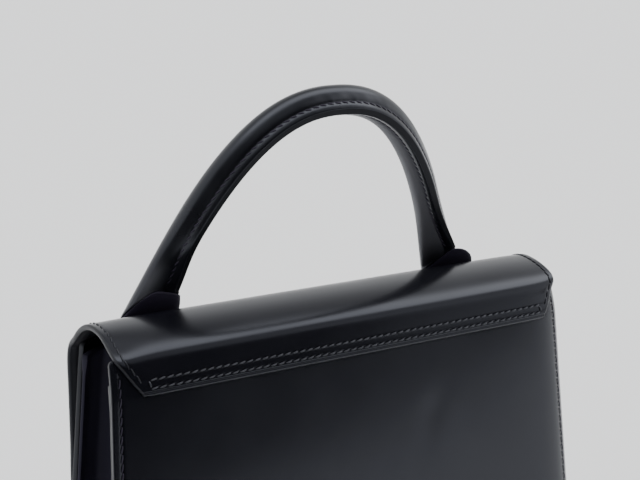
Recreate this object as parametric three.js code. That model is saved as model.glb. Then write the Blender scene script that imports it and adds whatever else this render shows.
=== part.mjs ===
// A structured top-handle flap bag in smooth black leather, empty, closed and standing on its base.
// Millimetres, +Z up. The origin is the middle of the base's underside.
// The back panel, which the flap is sewn to, looks along -Y, and the bag is widest along X.

import * as THREE from 'three';

const { smoothstep, lerp, degToRad } = THREE.MathUtils;

// Leather thicknesses and the clearance that neighbouring pieces keep
const PANEL_WALL = 2.2;
const FLAP_WALL = 2.4;
const GUSSET_WALL = 1.4;
const GAP = 0.3;

// Body: two leaning panels that narrow upward and bulge in the middle. Their ends pinch in, except the back
// panel's left end, which flares a little.
const BODY = {
  baseHalfWidth: 118.5,
  backSideLean: 0.0615,
  frontSideLean: 0.0715,
  footDepth: 46,
  faceLean: 0.113,
  rollFrom: 178,
  roll: 0.048,
  rollPower: 1.5,
  bulge: 1.8,
  bulgeFullAt: 50,
  bulgeFadesFrom: 115,
  bulgeGoneAt: 186,
  pinch: 4.6,
  pinchReach: 7,
  flare: 0.8,
  flareReach: 6,
};
const BACK_TOP = 191;
const FRONT_TOP = 187;
const CORNER_RADIUS = 2.5;

// Soft dents in the back panel: centre, half sizes along and across, turn from upright, depth
const BACK_DENTS = [
  { x: 33, z: 147, along: 9, across: 6, turn: 20, depth: 0.5 },
  { x: 29, z: 132, along: 22, across: 5, turn: 24, depth: 0.3 },
];

const BASE = { halfWidth: 119.5, halfDepth: 46.6, thickness: 2.4, cornerRadius: 8 };
const BODY_FOOT = BASE.thickness + GAP;

const GUSSET = {
  top: 183,
  flange: 9,
  shoulder: 3.5,
  foldAtTop: 9,
  foldAtFoot: 3,
  foldBend: 0.45,
  edgeSetback: 0.4,
  seatGap: 0.5,
};

// Flap: its outer line from the sewn edge over the crown to the front edge, with the half width there
const SEWN_EDGE_Z = 179.3;
const FRONT_EDGE_Z = 96;
const FRONT_SLACK = 3.6;
const FRONT_HALF_WIDTH = 110;
const FRONT_CORNER = 14;
const FRONT_CORNER_TURNS = [30, 60, 90];
const FRONT_LEVELS = [180, 165, 140, FRONT_EDGE_Z + FRONT_CORNER];
const SEWN_SHARES = [0, 0.35, 0.7];
const CROWN_ROWS = [
  { name: 'back crease', y: -24.25, z: 193.6, half: 103.9 },
  { name: 'back of crown', y: -20.5, z: 196.45, half: 104.6 },
  { name: 'crown rise', y: -12.7, z: 199.3, half: 105.0 },
  { name: 'crown', y: -4.0, z: 200.6, half: 105.5 },
  { name: 'crown fall', y: 4.8, z: 200.1, half: 106.5 },
  { name: 'handle seat back', y: 14.0, z: 196.3, half: 107.8 },
  { name: 'handle seat front', y: 24.5, z: 190.6, half: 108.8 },
  { name: 'front crease', y: 31.0, z: 185.4, half: 109.4 },
];
const SEWN_HALF_WIDTH = 94.8;
const SEWN_TAPER = 0.66;
const END_DROOP = 0.5;
const DRAPE_FROM = 199;
const DRAPE_FULL = 189;

// Handle: h = rise (1 - |x / halfSpan|^power) in a plane that leans toward the back.
// The seam ridge is turned from the arch's inner side toward the back, by degrees at each place.
const HANDLE = {
  midX: -5,
  footY: 22.2,
  footZ: 196,
  lean: degToRad(20.2),
  halfSpan: 72.9,
  rise: 92.8,
  power: 2.33,
  tubeRadius: 6.2,
  ridgeReach: 8.9,
  ridgeHalf: 1.55,
  flareLength: 45,
};
const SEAM_TURN = { left: 80, apex: 86.5, right: 95 };

// Foot pads: their inner and outer ends from the bag's middle and the height of their tops, which rise from
// a share at the inner end to a peak and fall to the outer tips. The handle ends on each in a tongue, with
// its ridge at an angle from the outer side.
const FEET = {
  left: { sideX: -1, inner: 63, outer: 88.2, peakAt: 75.5, peak: 11, innerShare: 0.72, ridge: 140 },
  right: { sideX: 1, inner: 60.4, outer: 88, peakAt: 71, peak: 8, innerShare: 0.3, ridge: 66 },
};
const PAD = { halfDepth: 6.6, tipHeight: 1.2, seatGap: 0.45 };
const TONGUE = { thickness: 1.6, pull: 0.33 };

const CLASP = { radius: 9, z: 112 };

// Faceting
const STEPS = {
  panelAcross: 30,
  panelUp: 24,
  frontAcross: 24,
  frontUp: 12,
  gussetUp: 12,
  gussetAround: 18,
  flapAlong: 44,
  flapAcross: 18,
  handlePoints: 48,
  handleRings: 30,
  flareRings: 8,
  roundSides: 14,
  claspSides: 24,
  halvings: 40,
};

const leather = (color, roughness) => new THREE.MeshStandardMaterial({ color, roughness, metalness: 0 });

// Closed solid from points and triangles, turned so that its faces point out.
function solid(points, triangles) {
  let volume = 0;
  for (const [a, b, c] of triangles) {
    volume += points[a].dot(new THREE.Vector3().crossVectors(points[b], points[c]));
  }
  const index = triangles.flatMap(([a, b, c]) => (volume > 0 ? [a, b, c] : [a, c, b]));
  const geometry = new THREE.BufferGeometry().setFromPoints(points);
  geometry.setIndex(index);
  geometry.computeVertexNormals();
  return geometry;
}

// A wall: face(u, v) gives its outer side on a grid, and side tells where the thickness goes.
function wall(face, rows, columns, thickness, side) {
  const at = (i, j) => i * (columns + 1) + j;
  const outer = [];
  for (let i = 0; i <= rows; i += 1) {
    for (let j = 0; j <= columns; j += 1) outer.push(face(i / rows, j / columns));
  }
  const step = (i, j, di, dj) => {
    const ahead = outer[at(Math.min(i + di, rows), Math.min(j + dj, columns))];
    const behind = outer[at(Math.max(i - di, 0), Math.max(j - dj, 0))];
    return new THREE.Vector3().subVectors(ahead, behind);
  };
  const inner = outer.map((point, k) => {
    const i = Math.floor(k / (columns + 1));
    const j = k % (columns + 1);
    const normal = step(i, j, 0, 1).cross(step(i, j, 1, 0)).normalize();
    return point.clone().addScaledVector(normal, side * thickness);
  });

  const count = outer.length;
  const triangles = [];
  const quad = (a, b, c, d) => triangles.push([a, b, c], [a, c, d]);
  for (let i = 0; i < rows; i += 1) {
    for (let j = 0; j < columns; j += 1) {
      const [a, b, c, d] = [at(i, j), at(i, j + 1), at(i + 1, j + 1), at(i + 1, j)];
      quad(a, b, c, d);
      quad(count + a, count + d, count + c, count + b);
    }
  }
  for (let j = 0; j < columns; j += 1) {
    quad(at(0, j + 1), at(0, j), count + at(0, j), count + at(0, j + 1));
    quad(at(rows, j), at(rows, j + 1), count + at(rows, j + 1), count + at(rows, j));
  }
  for (let i = 0; i < rows; i += 1) {
    quad(at(i, 0), at(i + 1, 0), count + at(i + 1, 0), count + at(i, 0));
    quad(at(i + 1, columns), at(i, columns), count + at(i, columns), count + at(i + 1, columns));
  }
  return solid([...outer, ...inner], triangles);
}

const middle = (ring) => ring.reduce((sum, p) => sum.add(p), new THREE.Vector3()).divideScalar(ring.length);

// A loft through closed rings of equal length, with a fan cap at each end about the given points.
function loft(rings, firstHub = middle(rings[0]), lastHub = middle(rings.at(-1))) {
  const sides = rings[0].length;
  const points = rings.flat();
  const triangles = [];
  for (let r = 0; r + 1 < rings.length; r += 1) {
    for (let k = 0; k < sides; k += 1) {
      const next = (k + 1) % sides;
      const [a, b] = [r * sides + k, r * sides + next];
      triangles.push([a, b, b + sides], [a, b + sides, a + sides]);
    }
  }
  const first = points.push(firstHub) - 1;
  const last = points.push(lastHub) - 1;
  const lastRing = (rings.length - 1) * sides;
  for (let k = 0; k < sides; k += 1) {
    const next = (k + 1) % sides;
    triangles.push([first, next, k], [last, lastRing + k, lastRing + next]);
  }
  return solid(points, triangles);
}

// Body surface

// 1 where the flap lies along the body's faces, 0 on its crown
const drape = (z) => 1 - smoothstep(z, DRAPE_FULL, DRAPE_FROM);

const sideLean = (facing) => (facing < 0 ? BODY.backSideLean : BODY.frontSideLean);
const halfWidth = (z, facing) => BODY.baseHalfWidth - sideLean(facing) * z;

// Distance of a panel's outer face from the mid-plane before bulge and pinch
function leanDepth(z) {
  const overRoll = Math.max(0, z - BODY.rollFrom);
  return BODY.footDepth - BODY.faceLean * z - BODY.roll * overRoll ** BODY.rollPower;
}

// Bulge and pinch or flare of a face, which fade out where the flap turns onto its crown
function swell(x, z, facing) {
  const half = halfWidth(z, facing);
  const across = Math.min(1, Math.abs(x) / half);
  const fade = 1 - smoothstep(z, BODY.bulgeFadesFrom, BODY.bulgeGoneAt);
  const bulge = BODY.bulge * (1 - across ** 2) * smoothstep(z, 0, BODY.bulgeFullAt) * fade;
  const fromEnd = Math.max(0, half - Math.abs(x));
  const flared = facing < 0 && x < 0;
  const end = flared ? BODY.flare * Math.exp(-fromEnd / BODY.flareReach)
    : -BODY.pinch * Math.exp(-fromEnd / BODY.pinchReach);
  return (bulge + end) * drape(z);
}

const faceDepth = (x, z, facing) => leanDepth(z) + swell(x, z, facing);

function dentDepth(x, z, dents) {
  return dents.reduce((sum, dent) => {
    const turn = degToRad(dent.turn);
    const [dx, dz] = [x - dent.x, z - dent.z];
    const along = (dz * Math.cos(turn) + dx * Math.sin(turn)) / dent.along;
    const across = (dx * Math.cos(turn) - dz * Math.sin(turn)) / dent.across;
    return sum + dent.depth * Math.exp(-(along ** 2 + across ** 2));
  }, 0);
}

// A panel's height at a share v of its width, with its two top corners rounded
function panelTop(v, top, facing) {
  const fromEnd = halfWidth(top, facing) * (1 - Math.abs(v));
  const intoCorner = Math.max(0, CORNER_RADIUS - fromEnd);
  return top - CORNER_RADIUS + Math.sqrt(CORNER_RADIUS ** 2 - intoCorner ** 2);
}

// Rows lie closer together toward the top, where the panel rolls in
const ROW_CROWDING = 1.6;

// Columns lie closer together toward the ends, where the panel pinches in
const COLUMN_SWING = 0.45 * Math.PI;
const spread = (share) => Math.sin((2 * share - 1) * COLUMN_SWING) / Math.sin(COLUMN_SWING);

function panel(facing, top, dents, up, across) {
  const face = (u, share) => {
    const v = spread(share);
    const z = lerp(BODY_FOOT, panelTop(v, top, facing), 1 - (1 - u) ** ROW_CROWDING);
    const x = v * halfWidth(z, facing);
    return new THREE.Vector3(x, facing * (faceDepth(x, z, facing) - dentDepth(x, z, dents)), z);
  };
  return wall(face, up, across, PANEL_WALL, facing);
}

function base() {
  const { halfWidth: w, halfDepth: d, cornerRadius: r, thickness } = BASE;
  const outline = new THREE.Shape();
  outline.moveTo(-w + r, -d).lineTo(w - r, -d).absarc(w - r, -d + r, r, -Math.PI / 2, 0, false);
  outline.lineTo(w, d - r).absarc(w - r, d - r, r, 0, Math.PI / 2, false);
  outline.lineTo(-w + r, d).absarc(-w + r, d - r, r, Math.PI / 2, Math.PI, false);
  outline.lineTo(-w, -d + r).absarc(-w + r, -d + r, r, Math.PI, Math.PI * 1.5, false);
  return new THREE.ExtrudeGeometry(outline, { depth: thickness, bevelEnabled: false, curveSegments: 6 });
}

// A side: a flange lies inside each panel's end, and the wall between folds into the bag
function gusset(sideX) {
  const plan = (z) => {
    const fold = lerp(GUSSET.foldAtFoot, GUSSET.foldAtTop, z / GUSSET.top);
    const half = (facing) => {
      const end = halfWidth(z, facing) - GUSSET.edgeSetback;
      const against = (x) => {
        const depth = faceDepth(sideX * x, z, facing);
        const slant = Math.hypot(1, faceDepth(sideX * (x - 1), z, facing) - depth);
        return depth - (PANEL_WALL + GUSSET.seatGap) * slant;
      };
      const flange = [0, 1 / 3, 2 / 3, 1].map((share) => end - GUSSET.flange * share);
      const shoulderX = end - GUSSET.flange - GUSSET.shoulder;
      const shoulderY = against(end - GUSSET.flange) - GUSSET.shoulder;
      return [
        ...flange.map((x) => [x, against(x)]),
        [shoulderX, shoulderY],
        [shoulderX - fold * GUSSET.foldBend, shoulderY / 2],
      ].map(([x, y]) => new THREE.Vector3(sideX * x, facing * y, z));
    };
    const [back, front] = [half(-1), half(1)];
    const crease = (back.at(-2).x + front.at(-2).x) / 2 - sideX * fold;
    const points = [...back, new THREE.Vector3(crease, 0, z), ...front.reverse()];
    return new THREE.CatmullRomCurve3(points, false, 'centripetal');
  };
  const face = (u, v) => plan(lerp(BODY_FOOT, GUSSET.top, u)).getPoint(v);
  return wall(face, STEPS.gussetUp, STEPS.gussetAround, GUSSET_WALL, sideX);
}

// Flap

// Points hold the half width as x, with y and z on the flap's outer line
function flapLine() {
  const points = [];
  for (const share of SEWN_SHARES) {
    const z = lerp(SEWN_EDGE_Z, CROWN_ROWS[0].z, share);
    const half = SEWN_HALF_WIDTH + SEWN_TAPER * (z - SEWN_EDGE_Z);
    points.push(new THREE.Vector3(half, -(leanDepth(z) + FLAP_WALL + GAP), z));
  }
  for (const row of CROWN_ROWS) points.push(new THREE.Vector3(row.half, row.y, row.z));
  for (const z of FRONT_LEVELS) {
    points.push(new THREE.Vector3(FRONT_HALF_WIDTH, leanDepth(z) + FLAP_WALL + GAP + FRONT_SLACK, z));
  }
  for (const angle of FRONT_CORNER_TURNS) {
    const turn = degToRad(angle);
    const z = FRONT_EDGE_Z + FRONT_CORNER * (1 - Math.sin(turn));
    const half = FRONT_HALF_WIDTH - FRONT_CORNER * (1 - Math.cos(turn));
    points.push(new THREE.Vector3(half, leanDepth(z) + FLAP_WALL + GAP + FRONT_SLACK, z));
  }
  return new THREE.CatmullRomCurve3(points, false, 'centripetal');
}

const FLAP_LINE = flapLine();

// The flap's outer side: u runs from the sewn edge to the front edge, v from -1 to 1 across
function flapFace(u, v) {
  const line = FLAP_LINE.getPointAt(u);
  const x = v * line.x;
  const z = line.z - END_DROOP * Math.abs(v) ** 8 * (1 - drape(line.z));
  return new THREE.Vector3(x, line.y + Math.sign(line.y) * swell(x, line.z, line.y), z);
}

const flap = () =>
  wall((u, share) => flapFace(u, spread(share)), STEPS.flapAlong, STEPS.flapAcross, FLAP_WALL, -1);

// Height of the flap's outer side over a plan point on its crown, found by halving
function crownHeight(x, y) {
  const over = (u) => flapFace(u, x / FLAP_LINE.getPointAt(u).x);
  let [low, high] = [0.1, 0.5];
  for (let n = 0; n < STEPS.halvings; n += 1) {
    const u = (low + high) / 2;
    if (over(u).y < y) low = u;
    else high = u;
  }
  return over(low).z;
}

// Handle

const UP_LEAN = new THREE.Vector3(0, -Math.sin(HANDLE.lean), Math.cos(HANDLE.lean));
const FACING = new THREE.Vector3(0, -Math.cos(HANDLE.lean), -Math.sin(HANDLE.lean));

function handleLine() {
  const points = [];
  for (let n = 0; n <= STEPS.handlePoints; n += 1) {
    const x = HANDLE.halfSpan * Math.sin((n / STEPS.handlePoints - 0.5) * Math.PI);
    const h = HANDLE.rise * (1 - Math.abs(x / HANDLE.halfSpan) ** HANDLE.power);
    const foot = new THREE.Vector3(HANDLE.midX + x, HANDLE.footY, HANDLE.footZ);
    points.push(foot.addScaledVector(UP_LEAN, h));
  }
  return new THREE.CatmullRomCurve3(points, false, 'centripetal');
}

// Section of the rolled leather, seen along it: the ridge's end, and flanks that run straight until they
// touch the round back
function tubeSection() {
  const { tubeRadius, ridgeReach, ridgeHalf } = HANDLE;
  const lean = Math.acos(tubeRadius / Math.hypot(ridgeReach, ridgeHalf));
  const touch = Math.atan2(ridgeHalf, ridgeReach) + lean;
  const points = [{ along: ridgeReach, across: ridgeHalf }];
  for (let k = 0; k <= STEPS.roundSides; k += 1) {
    const angle = lerp(touch, 2 * Math.PI - touch, k / STEPS.roundSides);
    points.push({ along: tubeRadius * Math.cos(angle), across: tubeRadius * Math.sin(angle) });
  }
  points.push({ along: ridgeReach, across: -ridgeHalf });
  return points;
}

const SECTION = tubeSection();

// Angle of the ridge from the arch's outer side at a share u of the handle's length
function ridgeAngle(u) {
  const end = u < 0.5 ? SEAM_TURN.left : SEAM_TURN.right;
  const turn = lerp(SEAM_TURN.apex, end, smoothstep(Math.abs(2 * u - 1), 0, 1));
  return Math.PI - degToRad(turn);
}

function tubeRing(line, u) {
  const centre = line.getPointAt(u);
  const outward = new THREE.Vector3().crossVectors(line.getTangentAt(u), FACING).normalize();
  if (outward.dot(UP_LEAN) < 0) outward.negate();
  const [cos, sin] = [Math.cos(ridgeAngle(u)), Math.sin(ridgeAngle(u))];
  return SECTION.map(({ along, across }) => centre.clone()
    .addScaledVector(outward, along * cos - across * sin)
    .addScaledVector(FACING, along * sin + across * cos));
}

// Height of a pad's top at a distance from the bag's middle
function padTop(reach, { inner, outer, peakAt, peak, innerShare }) {
  if (reach < peakAt) return peak * lerp(innerShare, 1, (reach - inner) / (peakAt - inner));
  return lerp(peak, PAD.tipHeight, ((reach - peakAt) / (outer - peakAt)) ** 2);
}

// Outline of a foot, raised above the flap along the handle's lean by a height from the pad's top
function footRing(foot, raise) {
  const mid = (foot.inner + foot.outer) / 2;
  const half = (foot.outer - foot.inner) / 2;
  return SECTION.map(({ along, across }) => {
    const angle = degToRad(foot.ridge) + Math.atan2(across, along);
    const reach = mid + half * Math.cos(angle);
    const x = foot.sideX * reach;
    const y = HANDLE.footY - PAD.halfDepth * Math.sin(angle);
    const seat = new THREE.Vector3(x, y, crownHeight(x, y) + PAD.seatGap);
    return seat.addScaledVector(UP_LEAN, raise(padTop(reach, foot)));
  });
}

// Rings of a flare: each point leaves along the leg and runs straight to the tongue's edge on the pad
function flareRings(line, foot) {
  const end = foot.sideX < 0 ? 0 : 1;
  const from = Math.abs(end - HANDLE.flareLength / line.getLength());
  const leg = line.getTangentAt(from).multiplyScalar(foot.sideX);
  const start = tubeRing(line, from);
  const edge = footRing(foot, (top) => top + GAP + TONGUE.thickness);
  const rings = [];
  for (let n = 1; n <= STEPS.flareRings; n += 1) {
    rings.push(start.map((point, k) => {
      const near = point.clone().addScaledVector(leg, point.distanceTo(edge[k]) * TONGUE.pull);
      const far = edge[k].clone().lerp(point, TONGUE.pull);
      return new THREE.CubicBezierCurve3(point, near, far, edge[k]).getPoint(n / STEPS.flareRings);
    }));
  }
  return [...rings, footRing(foot, (top) => top + GAP)];
}

function handle() {
  const line = handleLine();
  const share = HANDLE.flareLength / line.getLength();
  const arch = [];
  for (let n = 0; n <= STEPS.handleRings; n += 1) {
    arch.push(tubeRing(line, lerp(share, 1 - share, n / STEPS.handleRings)));
  }
  return loft([...flareRings(line, FEET.left).reverse(), ...arch, ...flareRings(line, FEET.right)]);
}

function handleFoot(foot) {
  const x = foot.sideX * (foot.inner + foot.outer) / 2;
  const seat = new THREE.Vector3(x, HANDLE.footY, crownHeight(x, HANDLE.footY) + PAD.seatGap);
  return loft([footRing(foot, () => 0), footRing(foot, (top) => top)], seat);
}

// The clasp's disc lies between the front panel and the flap, parallel to both
function clasp() {
  const depth = faceDepth(0, CLASP.z, 1) + (GAP + FRONT_SLACK) / 2;
  const thickness = FRONT_SLACK - GAP;
  const geometry = new THREE.CylinderGeometry(CLASP.radius, CLASP.radius, thickness, STEPS.claspSides);
  geometry.rotateX(Math.atan(BODY.faceLean));
  geometry.translate(0, depth, CLASP.z);
  return geometry;
}

const bag = new THREE.Group();

function add(name, geometry, material) {
  const mesh = new THREE.Mesh(geometry, material);
  mesh.name = name;
  bag.add(mesh);
}

const backPanel = panel(-1, BACK_TOP, BACK_DENTS, STEPS.panelUp, STEPS.panelAcross);
add('back_panel', backPanel, leather(0x17181a, 0.34));
add('front_panel', panel(1, FRONT_TOP, [], STEPS.frontUp, STEPS.frontAcross), leather(0x17181a, 0.34));
add('gusset_left', gusset(-1), leather(0x101012, 0.5));
add('gusset_right', gusset(1), leather(0x101012, 0.5));
add('base', base(), leather(0x141416, 0.45));
add('flap', flap(), leather(0x17181a, 0.3));
add('handle', handle(), leather(0x151517, 0.32));
add('handle_foot_left', handleFoot(FEET.left), leather(0x0b0b0c, 0.6));
add('handle_foot_right', handleFoot(FEET.right), leather(0x0b0b0c, 0.6));
add('clasp', clasp(), new THREE.MeshStandardMaterial({ color: 0x2a2a2c, roughness: 0.35, metalness: 0.9 }));

export default bag;
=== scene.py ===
"""A structured top-handle flap bag in smooth black leather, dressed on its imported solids.

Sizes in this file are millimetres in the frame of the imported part: +Z up, +X along the bag's width and the
flap's sewn edge on the -Y side. Points become metres when a mesh is made.
"""

import logging
import math
from dataclasses import dataclass, field
from enum import Enum
from typing import Callable

import bpy
import numpy as np
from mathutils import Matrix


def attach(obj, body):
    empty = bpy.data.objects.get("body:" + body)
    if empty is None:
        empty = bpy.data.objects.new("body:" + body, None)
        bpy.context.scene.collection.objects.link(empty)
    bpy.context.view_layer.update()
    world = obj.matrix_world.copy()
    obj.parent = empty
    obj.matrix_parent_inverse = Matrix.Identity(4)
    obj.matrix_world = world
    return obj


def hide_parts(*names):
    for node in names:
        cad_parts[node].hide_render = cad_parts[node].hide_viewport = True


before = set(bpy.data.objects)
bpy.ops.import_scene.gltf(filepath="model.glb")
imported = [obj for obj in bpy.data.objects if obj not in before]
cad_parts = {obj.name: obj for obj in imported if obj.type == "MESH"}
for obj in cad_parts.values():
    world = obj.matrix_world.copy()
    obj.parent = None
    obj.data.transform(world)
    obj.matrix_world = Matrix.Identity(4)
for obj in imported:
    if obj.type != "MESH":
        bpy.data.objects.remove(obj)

Array = np.ndarray
Surface = Callable[[Array, Array], Array]

METRE = 0.001
BODY = "root"
LOG = logging.getLogger("bag")


class Facing(Enum):
    """Which way a panel looks."""

    BACK = -1
    FRONT = 1


class Side(Enum):
    """An end of the bag."""

    LEFT = -1
    RIGHT = 1


# Working with curves and grids


def smoothstep(value: Array, low: float, high: float) -> Array:
    """Smooth rise from 0 at low to 1 at high: 3 t squared less 2 t cubed.

    Args:
        value: Places to read the rise at.
        low: Where it starts.
        high: Where it is full.

    Returns:
        The rise at each place.
    """
    t = np.clip((np.asarray(value, float) - low) / (high - low), 0, 1)
    return t * t * (3 - 2 * t)


def bell(distance: Array, width: float) -> Array:
    """Bell curve: e to the power of minus the squared distance over the width."""
    return np.exp(-((distance / width) ** 2))


def between(value: Array, edges: tuple[float, float, float, float]) -> Array:
    """Smooth rise from 0 to 1 between the first two edges, and back to 0 between the last two."""
    return smoothstep(value, *edges[:2]) * (1 - smoothstep(value, *edges[2:]))


def wrapped(theta: Array) -> Array:
    """Angles brought within half a turn of 0."""
    return (theta + math.pi) % (2 * math.pi) - math.pi


def unit(vectors: Array) -> Array:
    """Vectors scaled to length 1."""
    return vectors / np.linalg.norm(vectors, axis=-1, keepdims=True)


def xyz(x: Array | float, y: Array | float, z: Array | float) -> Array:
    """Points of the three arrays' joint shape."""
    return np.stack(np.broadcast_arrays(x, y, z), axis=-1)


def lengths_along(path: Array) -> Array:
    """Distance of each point of a path from its first point, measured along it."""
    steps = np.linalg.norm(np.diff(path, axis=0), axis=-1)
    return np.concatenate([[0.0], np.cumsum(steps)])


def read_at(where: Array, lengths: Array, values: Array) -> Array:
    """Values at given lengths, each column drawn straight between its known places.

    Args:
        where: Lengths to read.
        lengths: Known lengths, rising.
        values: A row of values for each known length.

    Returns:
        An array of the shape of where, with one last axis of columns.
    """
    return np.stack([np.interp(where, lengths, column) for column in values.T], axis=-1)


def steps_through(*stretches: tuple[float, float, float]) -> Array:
    """Places with a chosen spacing in each stretch.

    Args:
        stretches: First place, last place and spacing of each stretch, end to end.

    Returns:
        All the places, rising, each once.
    """
    parts = [
        np.linspace(low, high, max(1, round((high - low) / step)), endpoint=False)
        for low, high, step in stretches
    ]
    return np.concatenate([*parts, [stretches[-1][1]]])


def catmull_rom(knots: Array, per_span: int) -> Array:
    """Centripetal Catmull-Rom curve: a cubic through each pair of knots whose end slopes come from the
    neighbours, weighed by the square root of the knots' distances.

    Args:
        knots: Points to pass through, on the last but one axis.
        per_span: Points made from one knot to the next.

    Returns:
        Points on the curve, on the last but one axis.
    """
    first = 2 * knots[..., :1, :] - knots[..., 1:2, :]
    last = 2 * knots[..., -1:, :] - knots[..., -2:-1, :]
    held = np.concatenate([first, knots, last], axis=-2)
    spans = knots.shape[-2] - 1
    p0, p1, p2, p3 = (held[..., k : k + spans, None, :] for k in range(4))
    d0, d1, d2 = (
        np.sqrt(np.linalg.norm(b - a, axis=-1, keepdims=True)) for a, b in ((p0, p1), (p1, p2), (p2, p3))
    )
    leave = d1 * ((p1 - p0) / d0 - (p2 - p0) / (d0 + d1) + (p2 - p1) / d1)
    arrive = d1 * ((p2 - p1) / d1 - (p3 - p1) / (d1 + d2) + (p3 - p2) / d2)
    t = np.linspace(0, 1, per_span, endpoint=False)[:, None]
    square = 3 * (p2 - p1) - 2 * leave - arrive
    cube = 2 * (p1 - p2) + leave + arrive
    curve = p1 + leave * t + square * t**2 + cube * t**3
    curve = curve.reshape(*knots.shape[:-2], spans * per_span, 3)
    return np.concatenate([curve, knots[..., -1:, :]], axis=-2)


def grid_normals(points: Array) -> Array:
    """Unit normals of a grid of points: the step across crossed with the step along."""
    return unit(np.cross(np.gradient(points, axis=1), np.gradient(points, axis=0)))


def surface_normal(surface: Surface, a: Array, b: Array, step: float = 0.2) -> Array:
    """Unit normals of a surface of two parameters, from small steps in each.

    Args:
        surface: Gives points from two arrays of parameters.
        a: First parameter.
        b: Second parameter.
        step: Size of the step in both.

    Returns:
        A unit normal for each pair of parameters.
    """
    along = surface(a + step, b) - surface(a - step, b)
    across = surface(a, b + step) - surface(a, b - step)
    return unit(np.cross(across, along))


def softened(line: Array, spread: float, per_spread: int = 8) -> Array:
    """A line whose bends are softened: each point becomes a mean of its neighbours, weighted by a bell of
    their distance along it. Beyond its ends the line goes on as its own half turn, so they stay in place.

    Args:
        line: Points of the line.
        spread: The bell's width.
        per_spread: Points made in one width, of which the bell reaches three to each side.

    Returns:
        Evenly spaced points.
    """
    lengths = lengths_along(line)
    count = round(float(lengths[-1]) / spread * per_spread)
    even = read_at(np.linspace(0, lengths[-1], count + 1), lengths, line)
    reach = 3 * per_spread
    weights = np.exp(-0.5 * (np.arange(-reach, reach + 1) / per_spread) ** 2)
    weights /= weights.sum()
    longer = np.pad(even, ((reach, reach), (0, 0)), mode="reflect", reflect_type="odd")
    return np.stack([np.convolve(column, weights, "valid") for column in longer.T], axis=-1)


# Meshes


@dataclass
class Skin:
    """Faces that become one mesh: points, quads with a finish number each, flat end faces, and each point's
    share of painted sheen, a lighter grey that stands in for light."""

    points: Array
    quads: Array
    finish: Array
    ends: list[Array] = field(default_factory=list)
    painted_sheen_share: Array | None = None

    def volume(self) -> float:
        """Signed volume: a sixth of the sum of the triple products of the faces' triangles.

        Returns:
            The volume, negative where the faces point inward.
        """
        triangles = [self.quads[:, [0, 1, 2]], self.quads[:, [0, 2, 3]]]
        for ring in self.ends:
            first = np.full(len(ring) - 2, ring[0])
            triangles.append(np.stack([first, ring[1:-1], ring[2:]], axis=1))
        a, b, c = np.moveaxis(self.points[np.concatenate(triangles)], 1, 0)
        return float(np.einsum("ij,ij->", a, np.cross(b, c)) / 6)

    def to_object(self, name: str, materials: list[bpy.types.Material]) -> bpy.types.Object:
        """Makes the mesh, with its faces pointing out and shaded smooth.

        Args:
            name: The object's name.
            materials: A material for each finish number.

        Returns:
            The new object, at the origin.
        """
        turn = 1 if self.volume() > 0 else -1
        faces = self.quads[:, ::turn].tolist() + [ring[::turn].tolist() for ring in self.ends]
        mesh = bpy.data.meshes.new(name)
        mesh.from_pydata((self.points * METRE).tolist(), [], faces)
        for material in materials:
            mesh.materials.append(material)
        numbers = np.concatenate([self.finish, np.zeros(len(self.ends), int)]).astype(np.int32)
        mesh.polygons.foreach_set("material_index", numbers)
        mesh.polygons.foreach_set("use_smooth", np.ones(len(faces), bool))
        # Each point's share of painted sheen goes to a point layer that the leather reads.
        if self.painted_sheen_share is not None:
            layer = mesh.attributes.new(PAINTED_SHEEN_LAYER, "FLOAT", "POINT")
            layer.data.foreach_set("value", self.painted_sheen_share.ravel().astype(np.float32))
        mesh.update()
        piece = bpy.data.objects.new(name, mesh)
        bpy.context.scene.collection.objects.link(piece)
        return piece


def grid_quads(index: Array) -> Array:
    """Quads between neighbouring entries of a grid of point numbers."""
    corners = (index[:-1, :-1], index[:-1, 1:], index[1:, 1:], index[1:, :-1])
    return np.stack([corner.ravel() for corner in corners], axis=1)


def boundary(index: Array) -> Array:
    """Point numbers around a grid's edge, in order, each once."""
    return np.concatenate([index[0, :-1], index[:-1, -1], index[-1, :0:-1], index[:0:-1, 0]])


def sheet(outer: Array, thickness: float | Array, edge_swell: float, edge_steps: int = 6) -> Skin:
    """A sheet of leather with a round painted edge.

    The inner side lies one thickness behind the outer along its normals. Around the edge, half an ellipse
    joins the two: out by the swell times the sine of an angle, back by half the thickness times one less
    its cosine, as the angle goes from 0 to a half turn.

    Args:
        outer: Grid of points on the outer side.
        thickness: Wall thickness, for all points or for each.
        edge_swell: How far the edge stands out from the outer side's boundary.
        edge_steps: Faces from the outer side to the inner side around the edge.

    Returns:
        The skin, with finish 0 outside, 1 on the edge and 2 inside.
    """
    normals = grid_normals(outer)
    depth = np.broadcast_to(thickness, outer.shape[:2])[..., None]
    middle = outer.reshape(-1, 3).mean(axis=0)
    count = outer.shape[0] * outer.shape[1]
    index = np.arange(count).reshape(outer.shape[:2])
    loop = boundary(index)

    rim, rim_normal = outer.reshape(-1, 3)[loop], normals.reshape(-1, 3)[loop]
    rim_depth = depth.reshape(-1, 1)[loop]
    away = unit(np.cross(np.roll(rim, -1, axis=0) - np.roll(rim, 1, axis=0), rim_normal))
    away *= np.sign(np.sum(away * (rim - middle)))
    angle = np.linspace(0, math.pi, edge_steps + 1)[1:-1, None, None]
    rings = rim + away * edge_swell * np.sin(angle) - rim_normal * rim_depth / 2 * (1 - np.cos(angle))

    ring_index = 2 * count + np.arange(rings.shape[0] * len(loop)).reshape(rings.shape[:2])
    strip = np.concatenate([loop[None], ring_index, count + loop[None]])
    strip = np.concatenate([strip, strip[:, :1]], axis=1)
    parts = [grid_quads(index), grid_quads(strip)[:, ::-1], grid_quads(count + index)[:, ::-1]]
    inner = outer - normals * depth
    points = np.concatenate([outer.reshape(-1, 3), inner.reshape(-1, 3), rings.reshape(-1, 3)])
    finish = np.repeat([0, 1, 2], [len(part) for part in parts])
    return Skin(points, np.concatenate(parts), finish)


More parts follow.
